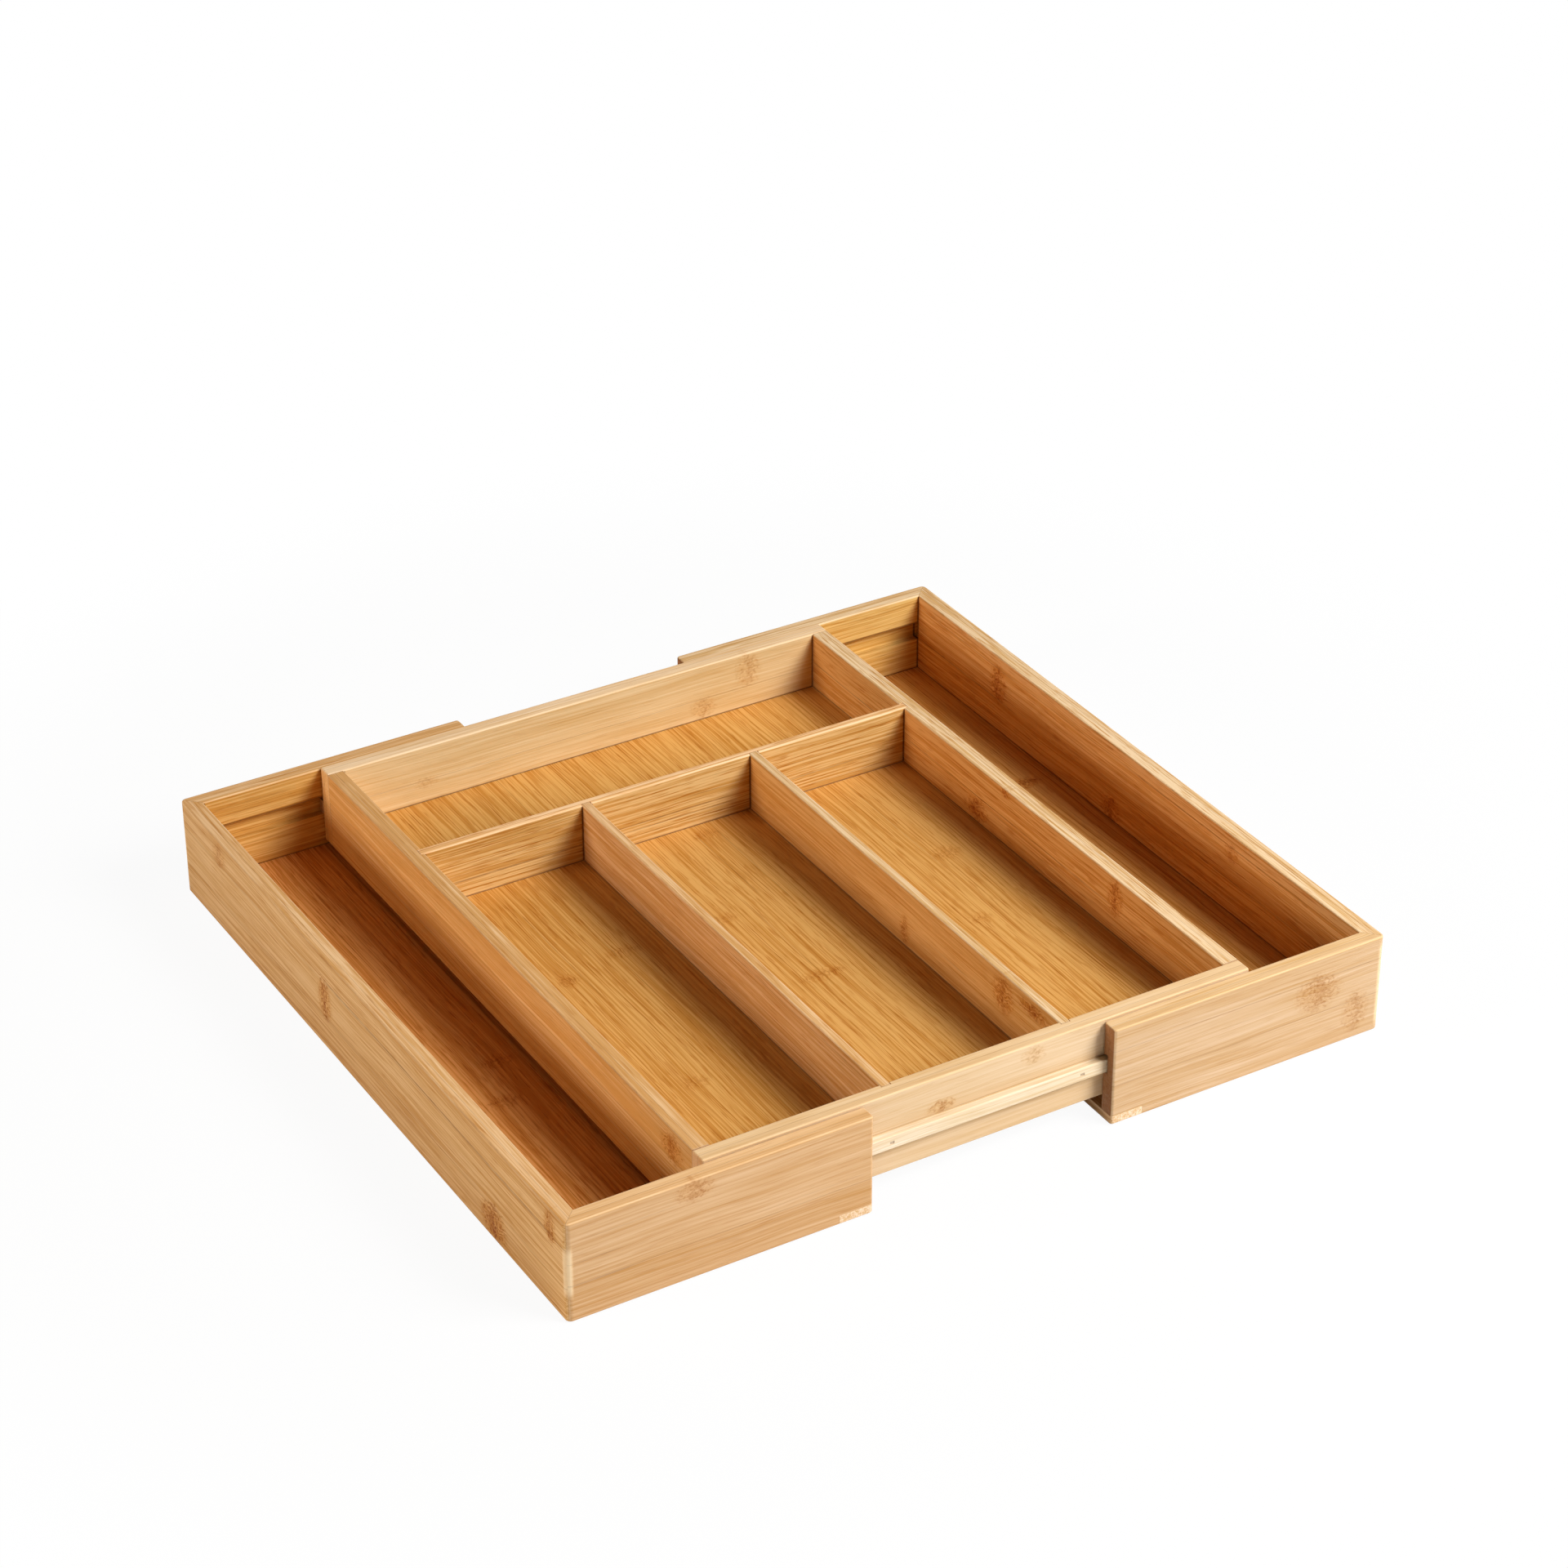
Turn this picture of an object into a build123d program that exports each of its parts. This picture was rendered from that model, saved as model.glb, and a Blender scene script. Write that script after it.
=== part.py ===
from build123d import *
import os

# Extendable bamboo cutlery tray: a centre tray with four compartments, and two wings
# that slide out sideways on tongue and groove runners.
# X runs to the right, Y to the rear and Z up. Lengths are in millimetres.
# The origin is under the middle of the tray, on the surface that the wings stand on.
# At rest both wings are pulled out by wing_pull_out.

# Whole tray
tray_depth = 370
wing_height = 48
centre_rise = 1
centre_length = 267
wing_pull_out = 57.6
closing_gap = 0.5
meeting_gap = 2.2

# Boards and panels
board_thickness = 8
divider_thickness = 4.6
floor_thickness = 3
wing_floor_lip = 4.3
centre_floor_lip = 6.4
centre_lift = 3

# Places of the dividers
long_divider_x = 43.9
cross_divider_y = 87.5

# Rounded edges
edge_round = 0.8
divider_round = 0.8
corner_round = 2.5
end_round = 1.5
strip_round = 0.6

# Glued joints
floor_housing = 2.5
wall_housing = 2
cross_housing = 1.5
glue_gap = 0.1

# Runners on the centre tray, with the play under them and the headroom over them in the grooves
runner_height = 6.6
runner_thickness = 3.4
runner_level = 27.4
slide_side_gap = 0.4
slide_play = 0.3
slide_headroom = 2.2
slide_tip_gap = 0.75

# Tie strips under the inner ends of the wings
tie_width = 16
tie_bearing = 8

# Brads: flat wire with a T head and a chisel point
brad_width = 1.25
brad_thickness = 1
brad_head_width = 2
brad_head_height = 0.5
brad_point_length = 1.4
brad_sink = 0.2
brad_play = 0.05
runner_brad_length = 9
tie_brad_length = 12
runner_brad_shares = (-0.455, -0.175, 0.175, 0.455)

# Length by which a cut runs past the face that it starts from
overrun = 5

# Levels, and faces of the centre tray
wing_floor_top = wing_floor_lip + floor_thickness
centre_base = wing_floor_top + centre_lift
centre_top = wing_height + centre_rise
centre_height = centre_top - centre_base
centre_floor_base = centre_base + centre_floor_lip
centre_floor_top = centre_floor_base + floor_thickness
wing_outer_y = tray_depth / 2
wing_inner_y = wing_outer_y - board_thickness
rail_outer_y = wing_inner_y - slide_side_gap
rail_inner_y = rail_outer_y - board_thickness
end_outer_x = centre_length / 2
end_inner_x = end_outer_x - board_thickness
cross_front_y = cross_divider_y - divider_thickness / 2

# Faces of the right wing, which the left one mirrors
closed_half_length = end_outer_x + closing_gap + board_thickness
return_length = closed_half_length - meeting_gap / 2
wing_outer_x = closed_half_length + wing_pull_out
wing_inner_x = wing_outer_x - return_length
side_inner_x = wing_outer_x - board_thickness
tie_outer_x = wing_inner_x + tie_width
wing_floor_inner_x = tie_outer_x - tie_bearing

# Slots for the dividers' ends, and grooves for the runners
divider_slot = divider_thickness + 2 * glue_gap
slide_groove_base = runner_level - runner_height / 2 - slide_play
slide_groove_height = slide_play + runner_height + slide_headroom
slide_groove_depth = runner_thickness - slide_side_gap + slide_tip_gap

# Planes of the wing's mitres, and planes that the runners and brads start from
front_mitre = Plane(origin=(side_inner_x, -wing_inner_y, 0), z_dir=(1, 1, 0))
rear_mitre = Plane(origin=(side_inner_x, wing_inner_y, 0), z_dir=(1, -1, 0))
rail_face = Plane(origin=(0, -rail_outer_y, runner_level), x_dir=(1, 0, 0), z_dir=(0, -1, 0))
runner_face = rail_face.offset(runner_thickness)
under_face = Plane(origin=(0, 0, 0), x_dir=(1, 0, 0), z_dir=(0, 0, -1))

# Places of the brads on those planes. Seen from below, y runs to the front
runner_brad_places = [(share * centre_length, 0) for share in runner_brad_shares]
tie_brad_x = wing_inner_x + (tie_width - tie_bearing) / 2
tie_brad_y = wing_outer_y - board_thickness / 2
front_tie_brad = (tie_brad_x, tie_brad_y)
rear_tie_brad = (tie_brad_x, -tie_brad_y)


def brad(head_level, length, play):
    """Brad that points down from the zero level, or the room for it where play is given."""
    head_half = brad_head_width / 2 + play
    half = brad_thickness / 2 + play
    shoulder_level = -brad_sink - brad_head_height - play
    with BuildPart() as one_brad:
        with BuildSketch(Plane.XZ):
            with BuildLine():
                Polyline(
                    (0, head_level),
                    (head_half, head_level),
                    (head_half, shoulder_level),
                    (half, shoulder_level),
                    (half, -length + brad_point_length),
                    (0, -length - play),
                    close=True,
                )
            make_face()
            mirror(about=Plane.YZ)
        extrude(amount=brad_width / 2 + play, both=True)
    return one_brad.part


runner_brad = brad(-brad_sink, runner_brad_length, 0)
runner_brad_room = brad(brad_sink, runner_brad_length, brad_play)
tie_brad = brad(-brad_sink, tie_brad_length, 0)
tie_brad_room = brad(brad_sink, tie_brad_length, brad_play)


def floor_panel(inner_x, outer_x, half_depth, base):
    """Floor panel between two places along X, with its underside at the base level."""
    with BuildSketch(Plane.XY.offset(base)) as plan:
        with Locations((inner_x, 0)):
            Rectangle(outer_x - inner_x, 2 * half_depth, align=(Align.MIN, Align.CENTER))
    extrude(plan.sketch, amount=floor_thickness)


def floor_groove(inner_x, outer_x, half_depth, base):
    """Room for the floor panel given by the same places, with the glue gap all round."""
    with BuildSketch(Plane.XY.offset(base - glue_gap)) as plan:
        with Locations((inner_x - glue_gap, 0)):
            Rectangle(
                outer_x - inner_x + 2 * glue_gap,
                2 * (half_depth + glue_gap),
                align=(Align.MIN, Align.CENTER),
            )
    extrude(plan.sketch, amount=floor_thickness + 2 * glue_gap, mode=Mode.SUBTRACT)


# The two floors, each as (inner_x, outer_x, half_depth, base)
centre_floor_place = (
    -end_inner_x - floor_housing,
    end_inner_x + floor_housing,
    rail_inner_y + floor_housing,
    centre_floor_base,
)
wing_floor_place = (
    wing_floor_inner_x,
    side_inner_x + floor_housing,
    wing_inner_y + floor_housing,
    wing_floor_lip,
)


def housing(x, y, x_size, y_size):
    """Upright slot for a divider's end, open at the top and down to the centre floor."""
    with BuildSketch(Plane.XY.offset(centre_floor_top)) as plan:
        with Locations((x, y)):
            Rectangle(x_size, y_size)
    extrude(plan.sketch, amount=centre_height, mode=Mode.SUBTRACT)


def rail_board():
    """Front rail: rounded board with the floor groove and the runner's brad holes."""
    with BuildSketch(Plane.XY.offset(centre_base)) as plan:
        with Locations((0, -rail_outer_y)):
            Rectangle(centre_length, board_thickness, align=(Align.CENTER, Align.MIN))
    extrude(plan.sketch, amount=centre_height)
    outer_corners = edges().filter_by(Axis.Z).group_by(Axis.Y)[0]
    fillet(edges().filter_by(Axis.Z, reverse=True) + outer_corners, radius=edge_round)
    floor_groove(*centre_floor_place)
    with Locations(runner_face):
        with Locations(*runner_brad_places):
            add(runner_brad_room, mode=Mode.SUBTRACT)


def end_board():
    """Right end wall: fits between the rails and takes the cross divider's end."""
    with BuildSketch(Plane.XY.offset(centre_base)) as plan:
        with Locations((end_outer_x, 0)):
            Rectangle(board_thickness, 2 * rail_inner_y, align=(Align.MAX, Align.CENTER))
    extrude(plan.sketch, amount=centre_height)
    fillet(edges().filter_by(Axis.Y), radius=edge_round)
    floor_groove(*centre_floor_place)
    housing(end_inner_x, cross_divider_y, 2 * wall_housing, divider_slot)


def divider(x, y, x_size, y_size, grain):
    """Divider that stands on the centre floor, with its two top edges rounded."""
    with BuildSketch(Plane.XY.offset(centre_floor_top)) as plan:
        with Locations((x, y)):
            Rectangle(x_size, y_size)
    extrude(plan.sketch, amount=centre_top - centre_floor_top)
    fillet(edges().filter_by(grain).group_by(Axis.Z)[-1], radius=divider_round)


def wing_boards():
    """Side wall and both returns of the right wing in one, grooved for the floor."""
    with BuildSketch() as plan:
        with Locations((wing_inner_x, 0)):
            Rectangle(return_length, tray_depth, align=(Align.MIN, Align.CENTER))
        fillet(vertices().group_by(Axis.X)[-1], radius=corner_round)
        with Locations((side_inner_x, 0)):
            Rectangle(
                return_length,
                2 * wing_inner_y,
                align=(Align.MAX, Align.CENTER),
                mode=Mode.SUBTRACT,
            )
        fillet(vertices().group_by(Axis.X)[0], radius=end_round)
    extrude(plan.sketch, amount=wing_height)
    fillet(faces().filter_by(Axis.Z).edges(), radius=edge_round)
    floor_groove(*wing_floor_place)


os.makedirs("parts", exist_ok=True)
pieces = {}

# Centre tray: rails and end walls
with BuildPart() as front_rail:
    rail_board()
    for side in (-1, 1):
        housing(side * long_divider_x, -rail_inner_y, divider_slot, 2 * wall_housing)
pieces["front_rail"] = front_rail

with BuildPart() as rear_rail:
    rail_board()
    mirror(about=Plane.XZ, mode=Mode.REPLACE)
pieces["rear_rail"] = rear_rail

with BuildPart() as right_end_wall:
    end_board()
pieces["right_end_wall"] = right_end_wall

with BuildPart() as left_end_wall:
    mirror(right_end_wall.part, about=Plane.YZ)
pieces["left_end_wall"] = left_end_wall

# Centre tray: floor and dividers
with BuildPart() as centre_floor:
    floor_panel(*centre_floor_place)
pieces["centre_floor"] = centre_floor

with BuildPart() as cross_divider:
    cross_length = 2 * (end_inner_x + wall_housing - glue_gap)
    divider(0, cross_divider_y, cross_length, divider_thickness, Axis.X)
    for side in (-1, 1):
        housing(side * long_divider_x, cross_front_y, divider_slot, 2 * cross_housing)
pieces["cross_divider"] = cross_divider

for side, name in ((-1, "left_divider"), (1, "right_divider")):
    front_end = -rail_inner_y - wall_housing + glue_gap
    rear_end = cross_front_y + cross_housing - glue_gap
    with BuildPart() as long_divider:
        middle = (front_end + rear_end) / 2
        divider(side * long_divider_x, middle, divider_thickness, rear_end - front_end, Axis.Y)
    pieces[name] = long_divider

# Centre tray: runners, the tongues of the slides, and the brads that hold them
with BuildPart() as front_runner:
    with BuildSketch(rail_face):
        Rectangle(centre_length, runner_height)
    extrude(amount=runner_thickness)
    fillet(edges().filter_by(Axis.X).group_by(Axis.Y)[0], radius=strip_round)
    with Locations(runner_face):
        with Locations(*runner_brad_places):
            add(runner_brad_room, mode=Mode.SUBTRACT)
pieces["front_runner"] = front_runner

with BuildPart() as rear_runner:
    mirror(front_runner.part, about=Plane.XZ)
pieces["rear_runner"] = rear_runner

with BuildPart() as front_runner_brads:
    with Locations(runner_face):
        with Locations(*runner_brad_places):
            add(runner_brad)
pieces["front_runner_brads"] = front_runner_brads

with BuildPart() as rear_runner_brads:
    mirror(front_runner_brads.part, about=Plane.XZ)
pieces["rear_runner_brads"] = rear_runner_brads

# Right wing: mitred side wall and returns, with a slide groove in each return
with BuildPart() as right_side_wall:
    wing_boards()
    split(bisect_by=front_mitre, keep=Keep.TOP)
    split(bisect_by=rear_mitre, keep=Keep.TOP)

with BuildPart() as right_front_return:
    wing_boards()
    split(bisect_by=front_mitre, keep=Keep.BOTTOM)
    with BuildSketch(Plane.XY.offset(slide_groove_base)):
        with Locations((wing_inner_x - overrun, -wing_inner_y)):
            Rectangle(
                return_length + overrun, slide_groove_depth, align=(Align.MIN, Align.MAX)
            )
    extrude(amount=slide_groove_height, mode=Mode.SUBTRACT)
    with BuildSketch():
        with Locations((tie_outer_x + glue_gap, 0)):
            Rectangle(tie_width + overrun, tray_depth + overrun, align=(Align.MAX, Align.CENTER))
    extrude(amount=wing_floor_lip, mode=Mode.SUBTRACT)
    with Locations(under_face):
        with Locations(front_tie_brad):
            add(tie_brad_room, mode=Mode.SUBTRACT)

with BuildPart() as right_rear_return:
    mirror(right_front_return.part, about=Plane.XZ)

# Right wing: floor, and the tie strip let in under it
with BuildPart() as right_floor:
    floor_panel(*wing_floor_place)

with BuildPart() as right_tie_strip:
    with BuildSketch():
        with Locations((wing_inner_x, 0)):
            Rectangle(tie_width, tray_depth, align=(Align.MIN, Align.CENTER))
        fillet(vertices().group_by(Axis.X)[0], radius=end_round)
    extrude(amount=wing_floor_lip)
    fillet(edges().group_by(Axis.Z)[0], radius=edge_round)
    with Locations(under_face):
        with Locations(front_tie_brad, rear_tie_brad):
            add(tie_brad_room, mode=Mode.SUBTRACT)

with BuildPart() as right_tie_brads:
    with Locations(under_face):
        with Locations(front_tie_brad, rear_tie_brad):
            add(tie_brad)

# Both wings: the left one mirrors the right one
wing_pieces = {
    "side_wall": right_side_wall,
    "front_return": right_front_return,
    "rear_return": right_rear_return,
    "floor": right_floor,
    "tie_strip": right_tie_strip,
    "tie_brads": right_tie_brads,
}
for name, piece in wing_pieces.items():
    with BuildPart() as left_piece:
        mirror(piece.part, about=Plane.YZ)
    pieces[f"right_{name}"] = piece
    pieces[f"left_{name}"] = left_piece

for name, piece in pieces.items():
    piece.part.label = name
    export_step(piece.part, f"parts/{name}.step")
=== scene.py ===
import math
import bpy
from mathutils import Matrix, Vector


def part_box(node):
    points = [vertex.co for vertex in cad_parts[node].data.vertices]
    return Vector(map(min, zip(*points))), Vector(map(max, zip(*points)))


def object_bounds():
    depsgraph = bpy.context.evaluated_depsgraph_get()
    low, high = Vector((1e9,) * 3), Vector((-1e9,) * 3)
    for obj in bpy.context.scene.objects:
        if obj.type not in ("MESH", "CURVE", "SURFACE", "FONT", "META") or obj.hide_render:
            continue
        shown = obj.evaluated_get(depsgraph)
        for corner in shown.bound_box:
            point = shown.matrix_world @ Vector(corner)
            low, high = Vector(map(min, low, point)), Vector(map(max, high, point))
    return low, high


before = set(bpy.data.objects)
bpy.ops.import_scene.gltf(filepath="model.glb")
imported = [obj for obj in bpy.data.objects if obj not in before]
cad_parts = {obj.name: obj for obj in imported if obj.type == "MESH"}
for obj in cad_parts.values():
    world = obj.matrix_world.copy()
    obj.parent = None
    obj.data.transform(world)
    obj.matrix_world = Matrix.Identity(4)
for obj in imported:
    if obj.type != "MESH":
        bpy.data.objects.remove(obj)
cad_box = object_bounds()

# Lengths in the finishes are millimetres, as on the maker's drawing
MILLIMETRES = 1000

# Faces and levels of the tray where boards meet, the groove roof under which a line of shade is
# painted, and the outside of the wings
centre_floor_top = 19.7
wing_floor_top = 7.3
groove_roof = 32.9
end_wall_face = 125.5
rail_face = 168.6
side_wall_face = 191.6
return_face = 177
divider_inner_face = 41.6
divider_outer_face = 46.2
cross_front_face = 85.2
cross_rear_face = 89.8
wing_outer_face = 199.6
wing_front_face = 185
divider_places = (-divider_outer_face, -divider_inner_face, divider_inner_face, divider_outer_face)

# The outer ply of a board, and how far its strips lie from the inner ply's
outer_ply = 3.6
ply_shift = 7
ply_blur = 0.1

# Half the width of each kind of line, and the width of a worn edge
joint_line = 0.32
lamination_line = 0.22
mitre_line = 0.28
seam_line = 0.9
arris_width = 0.8

# Where the painted corner highlight, sawn grain and the top edge begin and where they are full,
# from the nearest end
corner_wear = (3.5, 1.75)
mitred_end = (6, 12)
sawn_end = (0.5, 0.1)
top_edge = (0.9, 0.3)

# How far veins, seams and the painted corner highlights take to fade out at their ends
vein_fade = 6
seam_fade = 0.5
corner_fade = 3

# Length along the grain and width across it of each pattern in the bamboo
ripple_size = (2.4, 1.6)
fleck_size = (1.7, 1.1)
curl_size = (5, 4)
gap_size = (9, 3)
wander_size = (90, 40)
patch_size = (60, 12)
band_size = (160, 4)
streak_size = (110, 1.3)
fibre_size = (40, 0.6)
dash_size = (13, 0.9)
thread_size = (70, 0.8)
wear_size = 14

# How far fibres wander and curl, how far strips and veins follow, and the step between boards
wander_reach = 4
curl_reach = 6
strip_sway = 0.15
vein_sway = 0.3
board_step = 13

# The ragged outline of a cane joint, and the bow of its rim
joint_edge = (1.5, 0.2)
joint_raggedness = 1.6
rim_edge = (0.4, 0.05)
rim_raggedness = 2
rim_bow = 0.4
rim_offset = 0.15

# The part of a pattern's range in which it comes into view
dash_onset = (0.56, 0.72)
thread_onset = (0.58, 0.70)
gap_onset = (0.3, 0.6)
dot_onset = (0.50, 0.62)
fleck_onset = (0.46, 0.36)
darkest_tone = -0.4
palest_tone = 1.4

# How strongly patterns, plies, wear and lines show
patch_tone = 0.6
band_tone = 0.65
streak_tone = 2.2
fibre_tone = 1.9
dash_strength = 0.38
thread_strength = 0.42
knuckle_strength = 0.75
dot_strength = 0.8
fleck_strength = 0.6
rim_strength = 0.55
wear_strength = 0.6
strip_glue = 0.3
ply_glue = 0.4
mitre_glue = 0.45
seam_strength = 0.85
line_strength = 0.85
outer_strength = 0.9

# The clear lacquer, and the depth of the bumps under it
lacquer_gloss = 0.06
lacquer_roughness = 0.46
bamboo_relief = 0.10
steel_relief = 0.02

# Colours of the boards' faces under clear lacquer
runner_cream = (0.79, 0.65, 0.47)
rail_cream = (0.73, 0.54, 0.34)
rear_cream = (0.75, 0.54, 0.28)
pale_straw = (0.65, 0.455, 0.28)
straw = (0.645, 0.41, 0.218)
warm_straw = (0.7, 0.44, 0.138)
side_fawn = (0.735, 0.463, 0.205)
# Made brighter as painted light for the left end wall's shaded outer face
end_wall_honey = (0.9, 0.6, 0.302)
cross_honey = (0.665, 0.42, 0.162)
divider_honey = (0.72, 0.44, 0.22)
right_divider_honey = (0.75, 0.435, 0.168)
right_end_honey = (0.68, 0.35, 0.12)
right_side_honey = (0.72, 0.395, 0.157)
amber = (0.68, 0.39, 0.117)
floor_gold = (0.685, 0.352, 0.094)
floor_amber = (0.76, 0.385, 0.104)
floor_brown = (0.75, 0.34, 0.098)

# Colours of their planed top edges, paler partly from the planed grain and partly as painted light
# from above
cream_edge = (0.815, 0.565, 0.315)
rose_edge = (0.92, 0.66, 0.405)
gold_edge = (0.905, 0.56, 0.283)
fawn_edge = (0.79, 0.49, 0.24)

# Worn places and the painted corner highlight, glue and seams with the painted shade under the
# groove roof, and the brads' steel
worn_cream = (0.93, 0.71, 0.44, 1)
glue_brown = (0.13, 0.045, 0.012, 1)
steel_brown = (0.50, 0.36, 0.24, 1)
steel_grey = (0.70, 0.56, 0.41, 1)
steel_stain = (0.26, 0.15, 0.08, 1)

# What a board's own colour is multiplied by in its parts
pale_grain = (1.10, 1.16, 1.26, 1)
deep_grain = (0.86, 0.74, 0.52, 1)
fibre_brown = (0.74, 0.56, 0.34, 1)
knuckle_tint = (0.90, 0.76, 0.56, 1)
knuckle_dots = (0.62, 0.41, 0.22, 1)
knuckle_flecks = (1.10, 1.18, 1.30, 1)
outer_shade = (0.95, 0.92, 0.88, 1)
fawn_tint = (1.10, 1.04, 1.45, 1)
honey_end = (1.15, 1.05, 0.98, 1)
dark_end = (0.52, 0.36, 0.27, 1)
pale_end = (1.22, 1.42, 1.80, 1)


class Wire:
    """A shader value that adds, multiplies and compares as a number does."""

    def __init__(self, finish, socket):
        self.finish = finish
        self.socket = socket

    def maths(self, operation, *others):
        inputs = enumerate((self, *others))
        return self.finish.node("ShaderNodeMath", {"operation": operation}, inputs)

    def __add__(self, other):
        return self.maths("ADD", other)

    __radd__ = __add__

    def __sub__(self, other):
        return self.maths("SUBTRACT", other)

    def __rsub__(self, other):
        return self.finish.node("ShaderNodeMath", {"operation": "SUBTRACT"}, {0: other, 1: self})

    def __mul__(self, other):
        return self.maths("MULTIPLY", other)

    __rmul__ = __mul__

    def __truediv__(self, other):
        return self.maths("DIVIDE", other)

    def __abs__(self):
        return self.maths("ABSOLUTE")

    def low(self, other):
        return self.maths("MINIMUM", other)

    def high(self, other):
        return self.maths("MAXIMUM", other)

    def rise(self, start, end):
        """Goes softly from 0 at start to 1 at end, whichever of them is the larger."""
        settings = {"interpolation_type": "SMOOTHSTEP"}
        inputs = {"Value": self, "From Min": start, "From Max": end}
        return self.finish.node("ShaderNodeMapRange", settings, inputs)

    def within(self, start, end, soft):
        """1 between start and end, and 0 outside them."""
        return (abs(self - (start + end) / 2) - abs(end - start) / 2).rise(soft, -soft)


class Finish:
    """The shader of one finish, or of the room."""

    def __init__(self, owner):
        self.owner = owner
        owner.use_nodes = True
        self.tree = owner.node_tree
        self.tree.nodes.clear()

    def node(self, kind, settings=(), inputs=(), output=0):
        made = self.tree.nodes.new(kind)
        for setting, value in dict(settings).items():
            setattr(made, setting, value)
        for name, value in dict(inputs).items():
            if isinstance(value, Wire):
                self.tree.links.new(value.socket, made.inputs[name])
            else:
                made.inputs[name].default_value = value
        return Wire(self, made.outputs[output] if made.outputs else None)

    def place(self):
        """The three coordinates of a point, in millimetres."""
        point = self.node("ShaderNodeTexCoord", output="Object")
        split = self.node("ShaderNodeSeparateXYZ", inputs={0: point})
        return [Wire(self, socket) * MILLIMETRES for socket in split.socket.node.outputs]

    def noise(self, x, y, z, detail=1):
        point = self.node("ShaderNodeCombineXYZ", inputs={0: x, 1: y, 2: z})
        inputs = {"Vector": point, "Scale": 1, "Detail": detail, "Roughness": 0.55}
        return self.node("ShaderNodeTexNoise", {"noise_dimensions": "3D"}, inputs)

    def mix(self, factor, below, above, blend="MIX"):
        settings = {"data_type": "RGBA", "blend_type": blend}
        return self.node("ShaderNodeMix", settings, {0: factor, 6: below, 7: above}, output=2)

    def seen_directly(self):
        """1 for a ray that the eye follows, straight or by a mirror or glass."""
        rays = self.node("ShaderNodeLightPath").socket.node.outputs
        camera = Wire(self, rays["Is Camera Ray"])
        glossy = Wire(self, rays["Is Glossy Ray"])
        clear = Wire(self, rays["Is Transmission Ray"])
        return camera.high(glossy).high(clear)

    def surface(self, colour, roughness, height, depth, **constants):
        """Ends the finish in a shader, with bumps of the given depth in millimetres."""
        relief = {"Height": height, "Strength": 1, "Distance": depth / MILLIMETRES}
        normal = self.node("ShaderNodeBump", inputs=relief)
        inputs = {"Base Color": colour, "Roughness": roughness, "Normal": normal}
        inputs.update(constants)
        self.end(self.node("ShaderNodeBsdfPrincipled", inputs=inputs))

    def end(self, shader, kind="ShaderNodeOutputMaterial"):
        self.node(kind, inputs={"Surface": shader})

    def cover(self, piece):
        """Puts the finish on all of a piece's material slots."""
        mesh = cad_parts[piece].data
        if not mesh.materials:
            mesh.materials.append(self.owner)
        for number in range(len(mesh.materials)):
            mesh.materials[number] = self.owner


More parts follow.
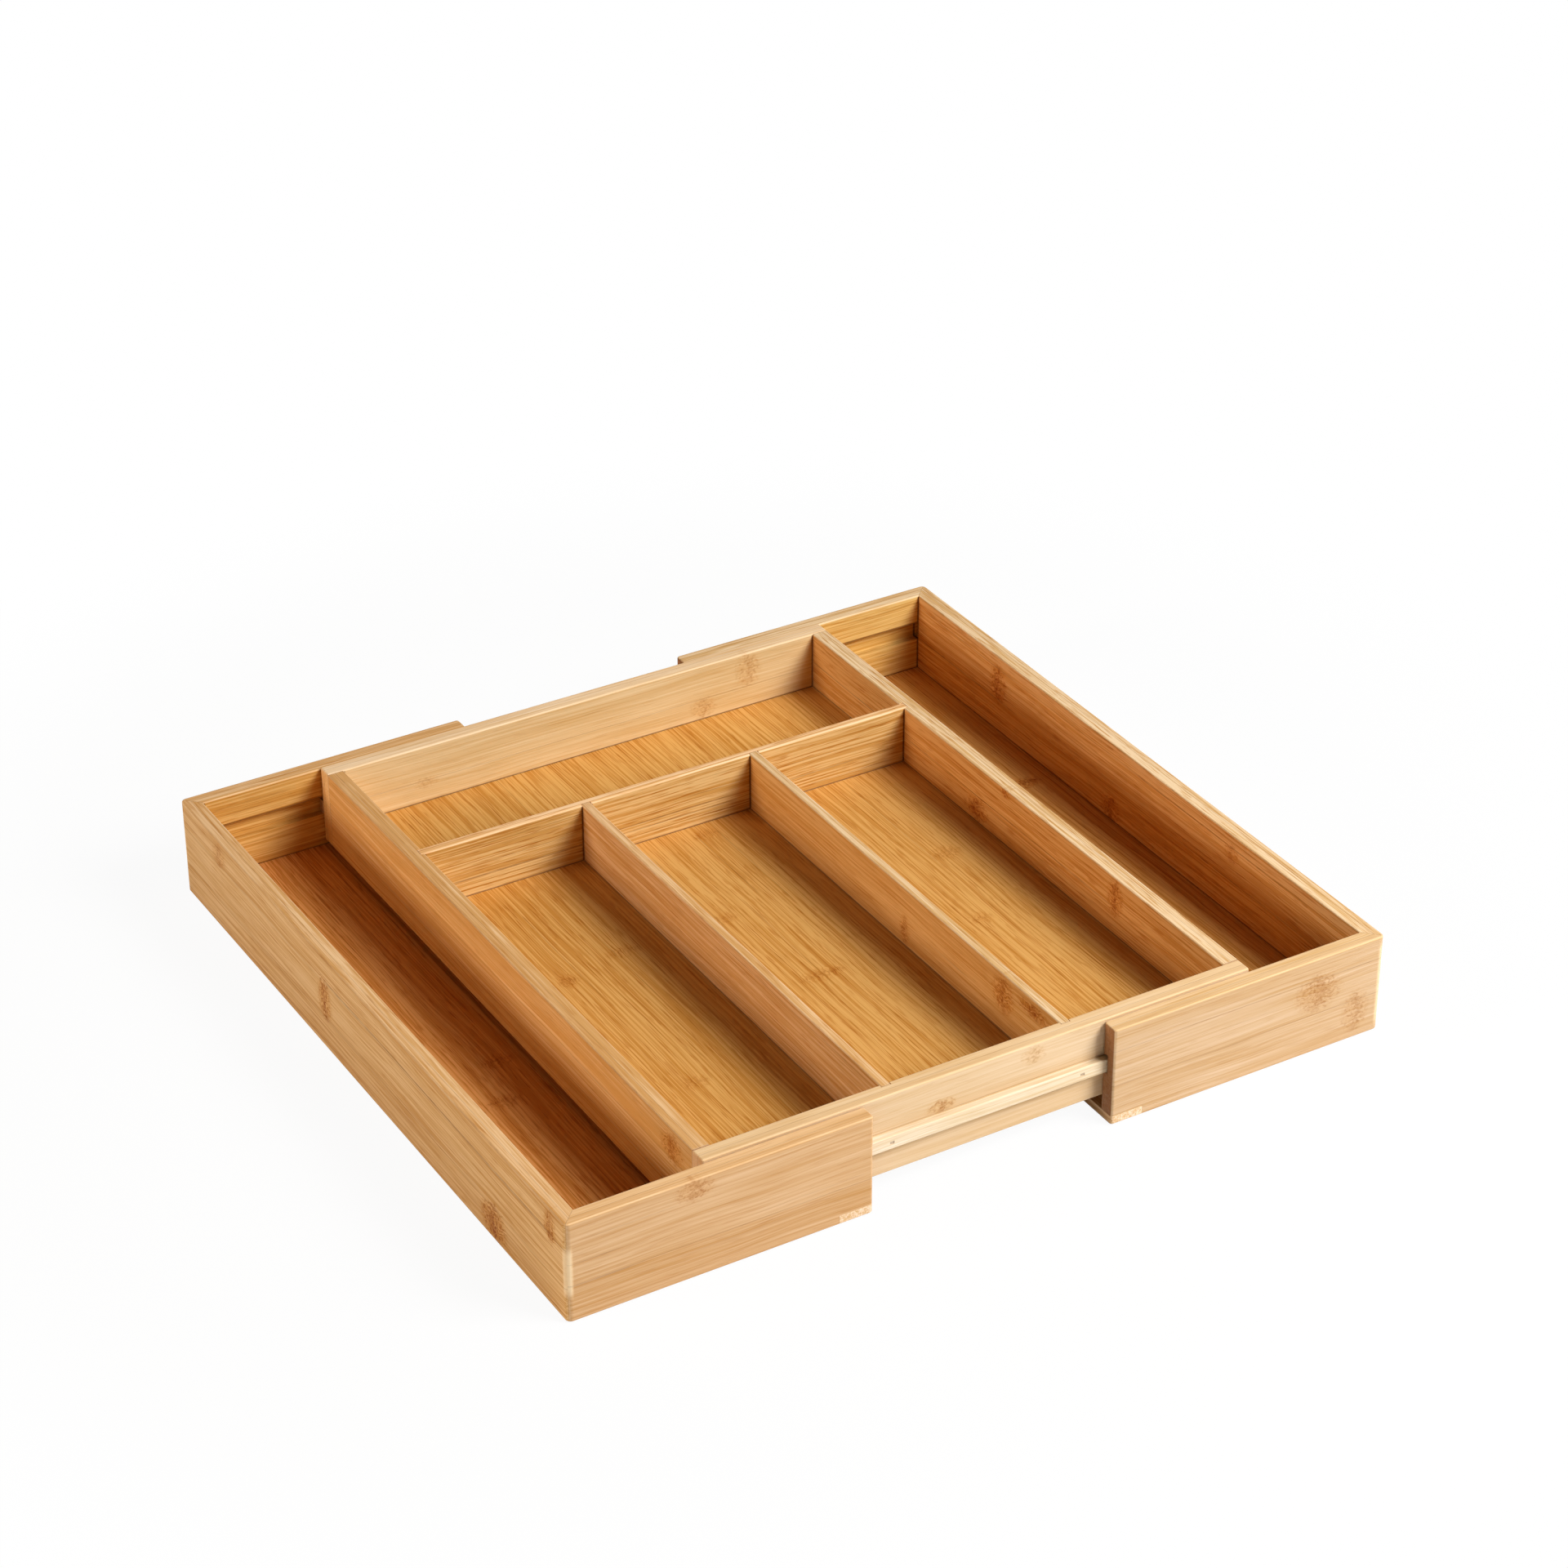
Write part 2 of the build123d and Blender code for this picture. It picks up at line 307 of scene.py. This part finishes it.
class Board(Finish):
    """The finish of one bamboo board, drawn on it from its box and the way its grain runs."""

    def __init__(self, piece, grain, through, seed, plies):
        super().__init__(bpy.data.materials.new("bamboo_" + piece))
        self.seed = seed
        self.low, self.high = (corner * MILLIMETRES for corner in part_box(piece))
        self.places = dict(zip("xyz", self.place()))
        self.along = self.places[grain]
        self.deep = self.places[through]
        self.across = self.places[min(set("xyz") - {grain, through})]
        middle, half = self.span(through)
        self.ply_joint = abs(middle) + (half - outer_ply if plies else 0)
        self.outward = self.deep * math.copysign(1, middle)
        self.outer = self.outward.rise(self.ply_joint - ply_blur, self.ply_joint + ply_blur)
        self.ripple = self.pattern(self.across, ripple_size, 0, detail=3)
        self.nothing = self.ripple * 0

    def span(self, axis):
        """The board's middle and half its size along an axis."""
        number = "xyz".index(axis)
        low, high = self.low[number], self.high[number]
        return (low + high) / 2, (high - low) / 2

    def pattern(self, across, size, shift, detail=1):
        """A pattern that goes straight through the board."""
        length, width = size
        return self.noise(self.along / length, across / width, self.seed + shift, detail)

    def on_face(self, mask, seen):
        """Keeps a mark to the outer or the inner face, or leaves it on both."""
        if seen == "outer":
            return mask * self.outer
        if seen == "inner":
            return mask * (1 - self.outer)
        return mask

    def cane_joints(self, knuckles):
        """The joints of the cane, each a broken oval, and their bowed dark rims."""
        knots = rims = self.nothing
        uneven = self.ripple - 0.5
        for spot in knuckles:
            lengthwise = (self.along - spot["along"]) / spot["half_length"]
            crosswise = (self.across - spot["across"]) / spot["half_width"]
            oval = lengthwise * lengthwise + crosswise * crosswise + uneven * joint_raggedness
            reach = self.on_face(oval.rise(*joint_edge), spot["seen"]) * spot["strength"]
            bow = lengthwise + crosswise * crosswise * rim_bow + uneven * rim_raggedness
            knots = knots.high(reach)
            rims = rims.high(abs(bow - rim_offset).rise(*rim_edge) * reach)
        return knots, rims

    def set_grain(self, knots):
        """Lets the fibres wander a little and curl round the cane joints."""
        self.wander = self.pattern(self.across, wander_size, 3) * wander_reach
        curl = (self.pattern(self.across, curl_size, 7) - 0.5) * curl_reach * knots
        self.bent = self.across + self.wander + curl
        self.level = self.deep + self.seed * board_step

    def sway(self):
        """How far the fibres have wandered from their own middle."""
        return self.wander - wander_reach / 2

    def fibre_pattern(self, size, shift=0):
        """A pattern that follows the fibres and changes through the board's thickness."""
        length, width = size
        return self.noise(self.along / length, self.bent / width, self.level / width + shift)

    def lay_strips(self, tone, strips, seen):
        """Shades the strips glued edge to edge, and draws the glue lines between them."""
        other_ply = self.outer if seen == "inner" else 1 - self.outer
        place = self.across + other_ply * ply_shift + self.sway() * strip_sway
        lines = self.nothing
        before = 0
        for edge, shade in strips:
            tone = tone + (place - edge).rise(-0.2, 0.2) * (shade - before)
            lines = lines.high(abs(place - edge).rise(joint_line, 0) * strip_glue)
            before = shade
        return tone, lines

    def draw_veins(self, lines, veins):
        """Draws the dark lines along the grain, fainter here and there."""
        broken = self.pattern(self.across, gap_size, 21).rise(*gap_onset)
        for mark in veins:
            path = self.across + self.sway() * vein_sway
            line = abs(path - mark["across"]).rise(mark["width"], 0)
            stretch = self.along.within(mark["start"], mark["end"], vein_fade)
            line = line * stretch * (broken * 0.5 + 0.5)
            lines = lines.high(self.on_face(line, mark["seen"]) * mark["strength"])
        return lines

    def draw_seams(self, lines, seams, on_top, sawn):
        """Draws the dark lines where other boards stand against this one, and a line of painted
        shade under a groove's roof.
        """
        for touch in seams:
            line = abs(self.places[touch["axis"]] - touch["place"]).rise(seam_line, seam_line / 3)
            line = line * (1 - on_top) * (1 - sawn)
            if touch["within"]:
                axis, start, end = touch["within"]
                line = line * self.places[axis].within(start, end, seam_fade)
            lines = lines.high(self.on_face(line, touch["seen"]) * seam_strength)
        return lines

    def arrises(self):
        """1 on the board's edges, which sanding leaves paler, and 0 elsewhere."""
        gaps = []
        for place, start, end in zip(self.places.values(), self.low, self.high):
            gaps.append((place - start).low(end - place))
        first, second, third = gaps
        middle = first.low(second).high(first.high(second).low(third))
        return middle.rise(arris_width, arris_width / 4)


def knuckle(along, across, half_length, half_width, strength=1, seen="both"):
    """A joint of the bamboo cane, seen on the outer, the inner or both faces of a board."""
    return locals()


def vein(across, start, end, strength=1, seen="both", width=0.35):
    """A dark line along the grain, between two fibres or two strips."""
    return locals()


def seam(axis, place, seen="inner", within=None):
    """The line where another board stands against this one, all along or within a stretch; at a
    groove's roof it is a line of painted shade.
    """
    return locals()


def seams_at(axis, places, seen="inner", within=None):
    """Seams at several places along an axis."""
    return [seam(axis, place, seen, within) for place in places]


def both_ends(face):
    """The same face at the left and the right, or at the front and the rear."""
    return (-face, face)


def bamboo(piece, grain, through, colour, seed, top=cream_edge, ends=dark_end, seen="inner",
           plies=True, streaks=1, strips=(), veins=(), knuckles=(), seams=(), outer_tint=None,
           worn_corner=None):
    """Gives a board its bamboo: fibres, strips, plies, cane joints and wear, with a top edge made
    paler partly as painted light, and a painted highlight down the wings' outer corners.

    The fibres run along the axis grain, and the plies lie one behind the other along the
    axis through. The strips' edges are given for the face that is seen in the photograph.
    """
    board = Board(piece, grain, through, seed, plies)
    knots, rims = board.cane_joints(knuckles)
    board.set_grain(knots)

    # The tone of the wood, from wide patches down to single fibres
    fibres = board.fibre_pattern(fibre_size)
    dashes = board.fibre_pattern(dash_size, 5).rise(*dash_onset)
    threads = board.fibre_pattern(thread_size, 9).rise(*thread_onset)
    fine = (board.fibre_pattern(band_size) - 0.5) * band_tone
    fine = fine + (board.fibre_pattern(streak_size) - 0.5) * streak_tone
    fine = fine + (fibres - 0.5) * fibre_tone
    tone = (board.fibre_pattern(patch_size) - 0.5) * patch_tone + 0.5
    tone, lines = board.lay_strips(tone + fine * streaks, strips, seen)
    lines = board.draw_veins(lines, veins)

    # The planed top edge, with the two plies side by side, paler partly from the planed grain and
    # partly as painted light from above
    height = board.high[2]
    on_top = board.places["z"].rise(*(height - drop for drop in top_edge))
    base = board.mix(on_top, colour + (1,), top + (1,))
    if plies:
        base = board.mix(board.outer * outer_strength, base, outer_shade, "MULTIPLY")
        lamination = abs(board.outward - board.ply_joint).rise(lamination_line, 0)
        lines = lines.high(lamination * ply_glue)
    if outer_tint:
        base = board.mix(board.outer * (1 - on_top), base, outer_tint, "MULTIPLY")

    # Sawn ends, seams, and the wings' mitred corners, with a painted highlight down each outer
    # corner
    centre, half = board.span(grain)
    sawn = abs(board.along - centre).rise(*(half - inset for inset in sawn_end))
    spots = [place / wear_size for place in (board.along, board.across, board.deep)]
    rubbed = board.noise(spots[0], spots[1], spots[2] + seed)
    worn = board.arrises() * (rubbed * wear_strength)
    if worn_corner:
        start, end, strength = worn_corner
        side_gap = wing_outer_face - abs(board.places["x"])
        front_gap = wing_front_face - abs(board.places["y"])
        from_corner = side_gap.high(front_gap)
        sawn = sawn * from_corner.rise(*mitred_end)
        # Painted highlight: a pale band down the rounded outer corner of a wing, where its edge
        # catches the light
        corner = from_corner.rise(*corner_wear) * board.places["z"].within(start, end, corner_fade)
        worn = worn.high(corner * strength)
    lines = board.draw_seams(lines, seams, on_top, sawn)
    if worn_corner:
        mitre = abs(side_gap - front_gap).rise(mitre_line, 0) * on_top
        lines = lines.high(mitre * mitre_glue)

    # Everything that tints the wood, with speckles and pale flecks at the cane joints
    fleck = board.pattern(board.bent, fleck_size, 11, detail=2)
    grain_tint = board.mix(tone.high(darkest_tone).low(palest_tone), deep_grain, pale_grain)
    colour = base
    for share, tint in (
        (1, grain_tint),
        (dashes * (dash_strength * streaks), fibre_brown),
        (threads * (thread_strength * streaks), fibre_brown),
        (sawn, ends),
        (knots * knuckle_strength, knuckle_tint),
        (fleck.rise(*dot_onset) * knots * dot_strength, knuckle_dots),
        (fleck.rise(*fleck_onset) * knots * fleck_strength, knuckle_flecks),
        (rims * rim_strength, knuckle_dots),
    ):
        colour = board.mix(share, colour, tint, "MULTIPLY")
    colour = board.mix(worn, colour, worn_cream)
    colour = board.mix(lines * line_strength, colour, glue_brown)

    bumps = fibres * 0.5 - dashes * 0.35 - rims * 0.6 - lines * 1.2 + fleck * knots * 0.8
    roughness = lacquer_roughness - (fibres - 0.5) * 0.25 + dashes * 0.08 + knots * 0.08
    board.surface(colour, roughness, bumps, bamboo_relief, **{"Specular IOR Level": lacquer_gloss})
    board.cover(piece)


def wire_steel(piece):
    """Gives a row of brads its drawn steel, stained here and there."""
    steel = Finish(bpy.data.materials.new("steel_" + piece))
    x, y, z = steel.place()
    drawn = steel.noise(x / 0.4, y / 0.4, z / 0.9)
    stain = steel.noise(x / 2.5, y / 2.5, z / 2.5)
    colour = steel.mix(drawn, steel_brown, steel_grey)
    colour = steel.mix(stain.rise(0.5, 0.75) * 0.5, colour, steel_stain)
    roughness = 0.42 + (stain - 0.5) * 0.3
    steel.surface(colour, roughness, drawn, steel_relief, Metallic=0.8)
    steel.cover(piece)


# Seams of the middle tray's boards
centre_floor_line = [seam("z", centre_floor_top, "both")]
rail_seams = [seam("z", centre_floor_top)] + seams_at("x", both_ends(end_wall_face))
front_rail_seams = rail_seams + seams_at("x", divider_places)
end_wall_seams = [seam("z", centre_floor_top)] + seams_at("y", both_ends(rail_face))
end_wall_seams += seams_at("y", (cross_front_face, cross_rear_face))
cross_seams = centre_floor_line + seams_at("x", both_ends(end_wall_face), "both")
cross_seams += seams_at("x", divider_places)
long_seams = centre_floor_line + seams_at("y", (-rail_face, cross_front_face), "both")
floor_seams = seams_at("x", both_ends(end_wall_face), "both")
floor_seams += seams_at("y", both_ends(rail_face), "both")
floor_seams += seams_at("y", (cross_front_face, cross_rear_face), "outer")
floor_seams += seams_at("x", divider_places, "outer", ("y", -rail_face, cross_front_face))

# Seams of the wings' boards, with a line of painted shade under the returns' groove roof
side_seams = [seam("z", wing_floor_top)] + seams_at("y", both_ends(return_face))
# The line at the groove roof is painted shade, where the groove's upper lip overhangs
return_seams = seams_at("z", (wing_floor_top, groove_roof))
return_seams += seams_at("x", both_ends(side_wall_face))
wing_floor_seams = seams_at("x", both_ends(side_wall_face), "both")
wing_floor_seams += seams_at("y", both_ends(return_face), "both")

# The middle tray's boards, with the cane joints, strips and veins that the photograph shows
bamboo(
    "front_rail", "x", "y", rail_cream, 1,
    ends=honey_end, seen="outer", streaks=0.35, strips=((31.5, 0.1),), seams=front_rail_seams,
    knuckles=(
        knuckle(-21, 34.5, 7, 3.2, 0.75, seen="outer"),
        knuckle(24, 43.5, 6, 4.5, 0.4, seen="outer"),
        knuckle(88, 30, 6, 8, 0.5, seen="inner"),
    ),
)
bamboo(
    "rear_rail", "x", "y", rear_cream, 2,
    top=rose_edge, ends=honey_end, streaks=0.5, strips=((31, 0.08),), seams=rail_seams,
    knuckles=(
        knuckle(89, 40, 7, 9, 0.5, seen="inner"),
        knuckle(64, 26, 7, 5.5, 0.5, seen="inner"),
        knuckle(-84, 30, 6, 3, 0.35, seen="inner"),
        knuckle(-40, 28, 7, 9, seen="outer"),
        knuckle(52, 40, 6, 7, 0.8, seen="outer"),
    ),
)
# Painted light: this wall's colour is made brighter and its strips paler lower down, standing in
# for light on its shaded outer face
bamboo(
    "left_end_wall", "y", "x", end_wall_honey, 3,
    top=fawn_edge, seen="outer", strips=((21, -0.15), (34, -0.4)), seams=end_wall_seams,
    veins=(
        vein(34, 40, 112, 0.35, "outer"),
        vein(45.5, 120, 165, 0.35, "outer"),
        vein(33.5, -96, -64, 0.35, "outer"),
        vein(41, -62, -30, 0.25, "outer"),
    ),
    knuckles=(
        knuckle(-152, 39.5, 9, 7, seen="outer"),
        knuckle(40, 28, 6, 8, 0.7, seen="inner"),
    ),
)
bamboo(
    "right_end_wall", "y", "x", right_end_honey, 4,
    streaks=2, strips=((33.5, 0.3),), seams=end_wall_seams,
    veins=(
        vein(33.5, -82, 80, 0.5, "inner", 0.6),
        vein(31, -45, 10, 0.4, "inner"),
        vein(33.8, 108, 168, 0.6, "inner", 0.6),
        vein(27.5, -75, -20, 0.3, "inner"),
    ),
    knuckles=(
        knuckle(-89, 38.5, 6, 9, seen="inner"),
        knuckle(22, 26.5, 10, 6, seen="inner"),
        knuckle(-1, 46.5, 4, 2.5, seen="inner"),
        knuckle(-30, 30, 6, 8, seen="outer"),
    ),
)
bamboo(
    "cross_divider", "x", "y", cross_honey, 5,
    top=gold_edge, plies=False, streaks=2.2, seams=cross_seams,
    veins=(
        vein(44.5, -112, -48, 0.4),
        vein(42, -90, -30, 0.3),
        vein(35, -104, -50, 0.35),
        vein(28.5, -112, -40, 0.7, width=0.6),
        vein(25.5, -100, -48, 0.4),
        vein(30.5, -38, 30, 0.7, width=0.5),
        vein(27.5, -26, 32, 0.6, width=0.5),
        vein(36.5, 8, 40, 0.45),
        vein(24.5, -18, 36, 0.4),
        vein(44, 2, 40, 0.25),
        vein(37, 50, 122, 0.3),
        vein(29, 62, 122, 0.5, width=0.5),
        vein(23, 70, 122, 0.4),
    ),
)
bamboo(
    "left_divider", "y", "x", divider_honey, 6,
    top=fawn_edge, plies=False, streaks=1.3, seams=long_seams,
    veins=(
        vein(45, -160, -40, 0.35),
        vein(24.5, -60, 40, 0.3),
        vein(22, -40, 50, 0.3),
    ),
)
bamboo(
    "right_divider", "y", "x", right_divider_honey, 7,
    plies=False, streaks=1.2, seams=long_seams,
    veins=(
        vein(31.5, -98, -68, 0.5),
    ),
    knuckles=(
        knuckle(-127, 38.5, 8, 9),
        knuckle(-150, 43, 12, 3.5),
        knuckle(-49, 28, 4, 7, 0.7),
    ),
)
bamboo(
    "centre_floor", "y", "z", floor_gold, 8,
    top=floor_gold, plies=False, streaks=1.7, strips=((-41, 0.2),), seams=floor_seams,
    veins=(
        vein(-92, -20, 60, 0.4),
        vein(-71, -40, 30, 0.35),
        vein(-19, 0, 70, 0.5),
        vein(-1, -60, 20, 0.4),
        vein(8, 20, 78, 0.5),
        vein(19, 10, 75, 0.4),
        vein(91, 0, 80, 0.35),
    ),
    knuckles=(
        knuckle(2, -99, 6, 5, 0.5),
        knuckle(10, -67, 5, 8, 0.35),
        knuckle(-93, -89, 5, 6, 0.35),
        knuckle(76, 13, 5, 7, 0.35),
        knuckle(-50, -1, 5, 11, 0.45),
        knuckle(10, -15, 5, 6, 0.35),
        knuckle(6, 99, 6, 8, 0.4),
        knuckle(-48, 83, 5, 6, 0.35),
    ),
)
for end, seed in (("front", 9), ("rear", 10)):
    bamboo(
        end + "_runner", "x", "y", runner_cream, seed,
        top=runner_cream, plies=False, streaks=0.6,
    )
    wire_steel(end + "_runner_brads")

# The left wing's boards
bamboo(
    "left_side_wall", "y", "x", side_fawn, 11,
    top=fawn_edge, seen="outer", streaks=1.25, strips=((16, 0.12), (35, -0.06)), seams=side_seams,
    worn_corner=(13, 35, 0.8),
    veins=(
        vein(34, 45, 180, 0.25, "outer"),
        vein(36, -175, 32, 0.6, "outer", 0.7),
        vein(17.5, -110, 28, 0.3, "outer"),
        vein(14.5, 60, 150, 0.25, "outer"),
        vein(3, 20, 185, 0.4, "outer"),
    ),
    knuckles=(
        knuckle(143.5, 40, 7, 6, 0.6, seen="outer"),
        knuckle(35, 26, 6.5, 10.5, 1.2, seen="outer"),
        knuckle(-122, 9, 11, 9, 1.2, seen="outer"),
        knuckle(-172, 39, 5, 8, seen="outer"),
    ),
)
bamboo(
    "left_front_return", "x", "y", straw, 12,
    top=fawn_edge, seen="outer", streaks=0.55, strips=((17.5, 0.1),), seams=return_seams,
    worn_corner=(13, 35, 0.9),
    veins=(
        vein(28, -197, -176, 0.55, "outer"),
        vein(17, -197, -168, 0.5, "outer"),
        vein(38.5, -190, -150, 0.25, "outer"),
        vein(21, -112, -62, 0.2, "outer"),
        vein(13, -150, -100, 0.15, "outer"),
    ),
    knuckles=(
        knuckle(-141.5, 43, 9, 5, 0.6, seen="outer"),
    ),
)
bamboo(
    "left_rear_return", "x", "y", amber, 13,
    top=fawn_edge, outer_tint=fawn_tint, streaks=1.4, strips=((25, -0.1),), seams=return_seams,
    worn_corner=(8, 36, 0.4),
    veins=(
        vein(42, -188, -150, 0.3, "inner"),
        vein(38, -184, -160, 0.3, "inner"),
        vein(20, -176, -140, 0.3, "inner"),
    ),
)
bamboo(
    "left_floor", "y", "z", floor_brown, 14,
    top=floor_brown, plies=False, streaks=2.2, seams=wing_floor_seams,
    knuckles=(
        knuckle(-48, -157, 5, 8, 0.5),
        knuckle(-20, -145, 5, 8, 0.5),
    ),
)

# The right wing's boards
bamboo(
    "right_side_wall", "y", "x", right_side_honey, 15,
    streaks=1.9, strips=((24, -0.3), (41.5, 0.4)), seams=side_seams,
    worn_corner=(4, 44, 0.3),
    veins=(
        vein(41.5, -140, -10, 0.6, "inner", 0.5),
        vein(41.5, 95, 177, 0.4, "inner"),
        vein(24.5, 100, 177, 0.6, "inner", 0.5),
        vein(24, -135, -75, 0.5, "inner", 0.5),
        vein(28, -20, 60, 0.25, "inner"),
    ),
    knuckles=(
        knuckle(105, 33, 7, 10, seen="inner"),
        knuckle(8, 13, 8, 7, seen="inner"),
        knuckle(-85, 38, 6, 5, 0.6, seen="inner"),
    ),
)
bamboo(
    "right_front_return", "x", "y", pale_straw, 16,
    seen="outer", streaks=0.5, strips=((19.5, 0.06), (37, -0.04)), seams=return_seams,
    worn_corner=(4, 44, 0.6),
    veins=(
        vein(37, 173, 196, 0.5, "outer"),
        vein(19, 98, 130, 0.25, "outer"),
        vein(29, 118, 142, 0.2, "outer"),
    ),
    knuckles=(
        knuckle(165, 30.5, 12, 9.5, 0.6, seen="outer"),
        knuckle(186, 14, 7, 10, 0.5, seen="outer"),
    ),
)
bamboo(
    "right_rear_return", "x", "y", warm_straw, 17,
    outer_tint=fawn_tint, streaks=1.3, strips=((33, 0.15),), seams=return_seams,
    worn_corner=(8, 36, 0.4),
    veins=(
        vein(44, 140, 190, 0.25, "inner"),
        vein(20, 165, 190, 0.3, "inner"),
    ),
)
bamboo(
    "right_floor", "y", "z", floor_amber, 18,
    top=floor_amber, plies=False, streaks=1.7, seams=wing_floor_seams,
    knuckles=(
        knuckle(56, 176, 5, 8),
    ),
)

# The strip under each wing that ties its two returns together
for side, seed in (("left", 29), ("right", 31)):
    bamboo(side + "_tie_strip", "y", "z", straw, seed, top=straw, plies=False, ends=pale_end)
    wire_steel(side + "_tie_brads")

# White paper sweep: the eye sees it glow, with a little of the tray's shadow left near the tray
white = (1, 1, 1, 1)
paper_shade = (0.86, 0.86, 0.86, 1)
paper_light = (0.90, 0.90, 0.90, 1)
paper_glow = 0.94
sweep_start = 330
sweep_end = 520
paper = Finish(bpy.data.materials.new("white_paper"))
x, y, z = paper.place()
tooth = paper.noise(x / 3, y / 3, z)
sheet_colour = paper.mix(tooth, paper_shade, paper_light)
sheet = paper.node("ShaderNodeBsdfDiffuse", inputs={"Color": sheet_colour})
glow = paper.node("ShaderNodeEmission", inputs={"Color": white, "Strength": 1.0})
away = (x * x + y * y).maths("SQRT").rise(sweep_start, sweep_end)
glow_share = paper.seen_directly() * (away * (1 - paper_glow) + paper_glow)
paper.end(paper.node("ShaderNodeMixShader", inputs={0: glow_share, 1: sheet, 2: glow}))

sweep_size = 16
sweep_drop = 0.0005
bpy.ops.object.select_all(action="DESELECT")
bpy.ops.mesh.primitive_plane_add(size=sweep_size, location=(0, 0, -sweep_drop))
bpy.ops.object.transform_apply(location=True)
floor = bpy.context.object
floor.name = "paper_sweep"
floor.data.materials.append(paper.owner)

# White room round it, which is white to the eye and sheds little light
room_light = 0.008
room = Finish(bpy.data.worlds.new("white_room"))
bpy.context.scene.world = room.owner
brightness = room.seen_directly() * (1 - room_light) + room_light
background = room.node("ShaderNodeBackground", inputs={"Color": white, "Strength": brightness})
room.end(background, "ShaderNodeOutputWorld")


tray_middle = Vector((0, 0, 0.03))
warm_light = (1, 0.84, 0.66)


def softbox(name, towards, distance, size, watts, colour=(1, 1, 1)):
    """A square softbox in the given direction from the tray, aimed at its middle."""
    lamp = bpy.data.lights.new(name, "AREA")
    lamp.size = size
    lamp.energy = watts
    lamp.color = colour
    stand = bpy.data.objects.new(name, lamp)
    bpy.context.scene.collection.objects.link(stand)
    direction = Vector(towards).normalized()
    stand.location = direction * distance + tray_middle
    stand.rotation_mode = "QUATERNION"
    stand.rotation_quaternion = direction.to_track_quat("Z", "Y")


softbox("key_softbox", (0.465, -0.605, 0.645), 2.2, 1.05, 66)
softbox("fill_softbox", (-0.93, 0.12, 0.29), 2.4, 0.55, 27, warm_light)

# The photograph's viewpoint
lens = bpy.data.cameras.new("photo_view")
lens.lens = 93.539
lens.sensor_width = 36
camera = bpy.data.objects.new("photo_view", lens)
bpy.context.scene.collection.objects.link(camera)
camera.location = (-0.769257, -1.313255, 1.007135)
camera.rotation_euler = [math.radians(angle) for angle in (58.929035, 0.107487, -30.721632)]
bpy.context.scene.camera = camera
bpy.context.scene.view_settings.view_transform = "Standard"
